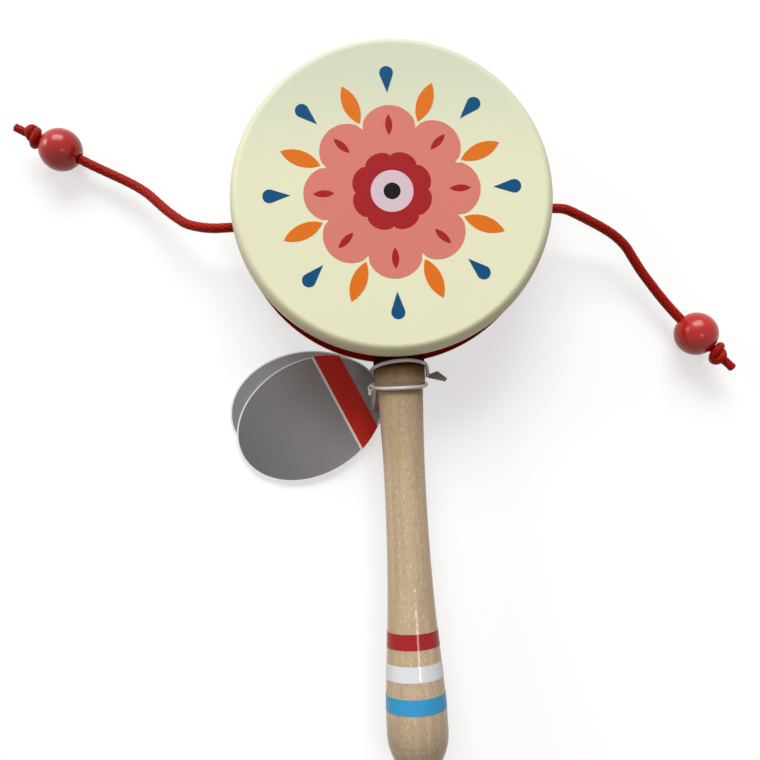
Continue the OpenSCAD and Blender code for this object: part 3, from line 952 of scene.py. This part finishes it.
# %% Band of the tag
band_colour = (0.55, 0.022, 0.012)
band_turn = front_turn - math.radians(1.2)
line_full, line_ends = 0.01045, 0.01065  # the pale line lies nearer to the middle
tag_red, tree, shader, where = start_material(
    "tag_red", band_colour, roughness=0.4, Specular_IOR_Level=0.15
)
along_card = apart(tree, on_card(tree, where, front_middle, band_turn))[0]
pale_share = ramp(tree, along_card, line_ends, line_full)
mottle = noise(tree, where, scale=900, detail=5)
red_ink = shades(tree, mottle, band_colour, 0.92, 1.08)
paint_with(tree, shader, blend_colours(tree, pale_share, red_ink, (0.85, 0.8, 0.77, 1)))
bump(tree, shader, mottle, strength=0.12, depth=0.03)
print("band:", tag_red.name)

# %% [markdown]
# ### The string and its lock
#
# The string is milky nylon with a smooth skin, so it has a sharp coat over a cloudy body. The
# lock is grey plastic with a fine grain from its mould.

# %% String and lock
nylon, tree, shader, where = start_material(
    "clear_string", (0.62, 0.58, 0.57), roughness=0.25, Coat_Weight=0.5, Coat_Roughness=0.1
)
cloud = noise(tree, where, scale=500, detail=3)
mottle_with(tree, shader, cloud, (0.64, 0.6, 0.6), 0.85, 1.12, strength=0.1, depth=0.03)

plastic, tree, shader, where = start_material(
    "grey_plastic", (0.1, 0.09, 0.085), roughness=0.35
)
spark = noise(tree, where, scale=2500, detail=3)
mottle_with(tree, shader, spark, (0.16, 0.145, 0.137), 0.85, 1.15, strength=0.15, depth=0.04)
print("small finishes:", nylon.name, plastic.name)

# %% [markdown]
# ### Which piece gets which finish
#
# A piece has one material and one slot. The slot names the finish in plain words, so pieces that
# are finished alike share it: the two heads are both cream lacquer. The ring has a copy of the
# beads' red lacquer of its own, darkened by painted shade.

# %% Give every piece its finish
def finish_with(piece, material):
    piece.data.materials.clear()
    piece.data.materials.append(material)


for name in ("front_head", "back_head"):
    finish_with(parts[name], cream)
finish_with(parts["drum_ring"], ring_red)
finish_with(parts["handle"], beech)
for name, (slot_name, colour) in paints.items():
    finish_with(parts[name], painted(slot_name, colour))
for name, (slot_name, colour) in inks.items():
    finish_with(parts[name], printed(slot_name, colour))
finish_with(parts["tag_front_leaf"], front_card)
finish_with(parts["tag_back_leaf"], back_card)
finish_with(parts["tag_band"], tag_red)
for made in cords.values():
    for key in ("neck", "run", "end_knot", "stop"):
        finish_with(made[key], yarn)
    finish_with(made["bead"], red)
for piece in (string, stop, tie):
    finish_with(piece, nylon)
finish_with(lock, plastic)

# %% [markdown]
# ## Light and floor
#
# The toy was photographed under the soft light of a window. A wide lamp stands low beyond the
# drum's top, so the near rim and the neck are in shade. A weaker one at the left lifts the left
# cord, a weak warm sky fills the shadows, and a small lamp that is aimed straight down draws the
# thin gloss line on the handle. The camera sees the sky white, and so do reflections, by the
# Light Path node.

# %% Lights
def lamp(name, place, target, size, power, colour):
    """An area lamp, placed, aimed and sized in metres."""
    data = bpy.data.lights.new(name, "AREA")
    data.shape = "RECTANGLE"
    data.color = colour
    data.size, data.size_y = size
    data.energy = power
    light = bpy.data.objects.new(name, data)
    way = Vector(target) - Vector(place)
    light.matrix_world = (
        Matrix.Translation(Vector(place)) @ way.to_track_quat("-Z", "Y").to_matrix().to_4x4()
    )
    bpy.context.scene.collection.objects.link(light)


toy_middle = (0, -0.06, 0.015)
gloss_x, gloss_y, gloss_z = 0.17, -0.1945, 0.52
lamp(
    "window", (-0.1, 2.3, 1.94), toy_middle, size=(2.4, 1.5), power=89, colour=(0.94, 1, 1)
)
lamp("left_fill", (-2.55, 1.2, 1.02), toy_middle, size=(1, 1), power=21, colour=(1, 1, 1))
lamp(
    "gloss_line", (gloss_x, gloss_y, gloss_z), (gloss_x, gloss_y, 0),
    size=(0.085, 0.045), power=0.22, colour=(1, 0.95, 0.88),
)


def seen_directly(tree):
    """1 for what the camera sees, also mirrored or through glass, and 0 for stray light."""
    path = add(tree, "ShaderNodeLightPath")
    mirrored = maths(
        tree, "MAXIMUM", path.outputs["Is Glossy Ray"], path.outputs["Is Transmission Ray"]
    )
    return maths(tree, "MAXIMUM", path.outputs["Is Camera Ray"], mirrored)


world = bpy.data.worlds.new("studio")
bpy.context.scene.world = world
world.use_nodes = True
tree = world.node_tree
tree.nodes.clear()
sky = add(tree, "ShaderNodeBackground", {"Color": (1, 0.85, 0.78, 1), "Strength": 0.215})
white = add(tree, "ShaderNodeBackground", {"Color": (1, 1, 1, 1), "Strength": 1})
choose = add(
    tree, "ShaderNodeMixShader",
    {0: seen_directly(tree), 1: sky.outputs[0], 2: white.outputs[0]},
)
add(tree, "ShaderNodeOutputWorld", {"Surface": choose.outputs[0]})
print("lights:", len(bpy.data.lights))

# %% [markdown]
# ### The floor
#
# The floor is pale and keeps the toy's soft shadow. The camera and reflections see it nearly
# white, because some light is added to it there. To the light that bounces, it is a warm brown,
# so that it doesn't throw too much light up at the rims. From below it is clear, so the toy's
# underside can be looked at.

# %% Floor
floor_reach, floor_height = 3, -0.05 * MM
bm = bmesh.new()
bmesh.ops.create_grid(
    bm, x_segments=2, y_segments=2, size=floor_reach,
    matrix=Matrix.Translation((0, 0, floor_height)),
)
floor = mesh_object("floor", bm)
pale, tree, shader, _ = start_material(
    "pale_floor", (0.19, 0.14, 0.1), roughness=0.9, Specular_IOR_Level=0.1
)
seen = add(tree, "ShaderNodeBsdfDiffuse", {"Color": (0.5, 0.5, 0.5, 1)})
lift = add(tree, "ShaderNodeEmission", {"Color": (1, 1, 1, 1), "Strength": 0.6})
bright = add(tree, "ShaderNodeAddShader", {0: seen.outputs[0], 1: lift.outputs[0]})
from_above = add(
    tree, "ShaderNodeMixShader",
    {0: seen_directly(tree), 1: shader.outputs[0], 2: bright.outputs[0]},
)
below = add(tree, "ShaderNodeBsdfTransparent")
side = add(tree, "ShaderNodeNewGeometry")
both = add(
    tree, "ShaderNodeMixShader",
    {0: side.outputs["Backfacing"], 1: from_above.outputs[0], 2: below.outputs[0]},
)
tree.links.new(both.outputs[0], tree.nodes["Material Output"].inputs["Surface"])
floor.data.materials.append(pale)
bpy.context.scene.view_settings.view_transform = "Standard"
print("floor:", floor.name)
